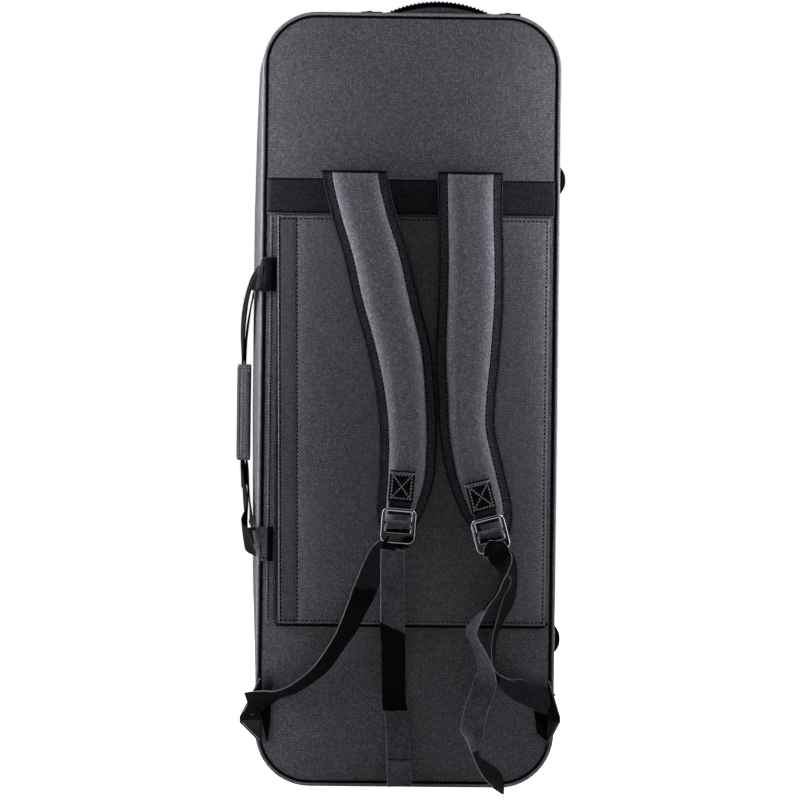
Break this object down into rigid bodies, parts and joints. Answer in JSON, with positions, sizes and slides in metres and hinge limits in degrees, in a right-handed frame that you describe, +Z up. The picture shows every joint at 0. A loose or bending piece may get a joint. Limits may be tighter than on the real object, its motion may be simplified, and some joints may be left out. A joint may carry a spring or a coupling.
{
  "type": "tenor saxophone case",
  "caption": "Upright soft-covered foam case for a tenor saxophone with backpack straps, side and top handles, a zipped hinged lid and a fitted interior.",
  "frame": {"origin": "centre of the bottom end, on the surface that the case stands on", "axes": "+Z up along the case's length, -Y out of the back panel with the shoulder straps, +Y out of the lid, -X to the carrying side with the side handle, +X to the hinge side"},
  "size_m": [0.3621, 0.3059, 0.869],
  "materials": {
    "ballistic_nylon": "woven, satin",
    "pocket_nylon": "woven, satin",
    "pad_mesh": "woven, matte",
    "black_webbing": "woven, satin",
    "piping_cord": "woven, satin",
    "rigid_foam": "beaded foam",
    "black_plush": "short pile",
    "zip_tape": "woven, matte",
    "zip_coil": "moulded",
    "gunmetal": "black nickel plate, satin",
    "rubber": "moulded, matte",
    "screw_steel": "black oxide"
  },
  "bodies": {
    "case": {"back_panel": "ballistic_nylon", "back_piping": "piping_cord", "body_gusset": "ballistic_nylon", "body_shell": "rigid_foam", "cradle": "rigid_foam", "cradle_facing": "black_plush", "feet_body": "rubber", "foot_screws_body": "screw_steel", "corner_tab_left": "ballistic_nylon", "corner_tab_right": "ballistic_nylon", "grip_wrap": "ballistic_nylon", "handle_strap_body": "black_webbing", "hinge_strip": "ballistic_nylon", "hold_down_strap": "black_webbing", "load_webbing_left": "black_webbing", "load_webbing_right": "black_webbing", "pocket_panel": "pocket_nylon", "pocket_hem": "pocket_nylon", "pocket_underlay": "pocket_nylon", "strap_band": "black_webbing", "top_handle": "rubber", "top_handle_caps": "rubber", "top_handle_rivets": "screw_steel", "zip_coil_body": "zip_coil", "zip_tape_body": "zip_tape", "zip_end_tabs": "ballistic_nylon"},
    "lid": {"lid_panel": "ballistic_nylon", "lid_gusset": "ballistic_nylon", "lid_shell": "rigid_foam", "lid_pad": "rigid_foam", "lid_facing": "black_plush", "lid_piping": "piping_cord", "zip_coil_lid": "zip_coil", "zip_tape_lid": "zip_tape", "feet_lid": "rubber", "foot_screws_lid": "screw_steel", "handle_strap_lid": "black_webbing"},
    "strap_left": {"pad_left": "pad_mesh", "pad_backing_left": "pad_mesh", "pad_tab_left": "black_webbing", "buckle_left": "gunmetal", "tail_webbing_left": "black_webbing"},
    "strap_right": {"pad_right": "pad_mesh", "pad_backing_right": "pad_mesh", "pad_tab_right": "black_webbing", "buckle_right": "gunmetal", "tail_webbing_right": "black_webbing"},
    "grip_cover": {"grip_flap": "ballistic_nylon"},
    "slider_left": {"zip_slider_left": "gunmetal"},
    "slider_right": {"zip_slider_right": "gunmetal"},
    "pull_left": {"zip_pull_left": "gunmetal"},
    "pull_right": {"zip_pull_right": "gunmetal"}
  },
  "joints": [
    {"name": "lid_hinge", "type": "hinge", "parent": "case", "child": "lid", "pos_m": [0.1649, 0.02, 0.425], "axis": [0, 0, -1], "range_deg": [0, 150], "deforming": ["hinge_strip", "handle_strap_lid"]},
    {"name": "strap_left_swing", "type": "hinge", "parent": "case", "child": "strap_left", "pos_m": [-0.062, -0.1091, 0.6749], "axis": [-1, 0, 0], "range_deg": [0, 60], "deforming": ["load_webbing_left"]},
    {"name": "strap_right_swing", "type": "hinge", "parent": "case", "child": "strap_right", "pos_m": [0.0649, -0.1091, 0.6749], "axis": [-1, 0, 0], "range_deg": [0, 60], "deforming": ["load_webbing_right"]},
    {"name": "grip_flap_hinge", "type": "hinge", "parent": "case", "child": "grip_cover", "pos_m": [-0.187, 0.042, 0.409], "axis": [0, 0, -1], "range_deg": [0, 150]},
    {"name": "slider_left_slide", "type": "slide", "parent": "case", "child": "slider_left", "axis": [1, 0, 0], "range_m": [-0.014, 0]},
    {"name": "slider_right_slide", "type": "slide", "parent": "case", "child": "slider_right", "axis": [1, 0, 0], "range_m": [0, 0.14]},
    {"name": "pull_left_flip", "type": "hinge", "parent": "slider_left", "child": "pull_left", "pos_m": [-0.08, 0.02, 0.8531], "axis": [0, 1, 0], "range_deg": [0, 110]},
    {"name": "pull_right_flip", "type": "hinge", "parent": "slider_right", "child": "pull_right", "pos_m": [-0.048, 0.02, 0.8531], "axis": [0, -1, 0], "range_deg": [0, 110]}
  ]
}
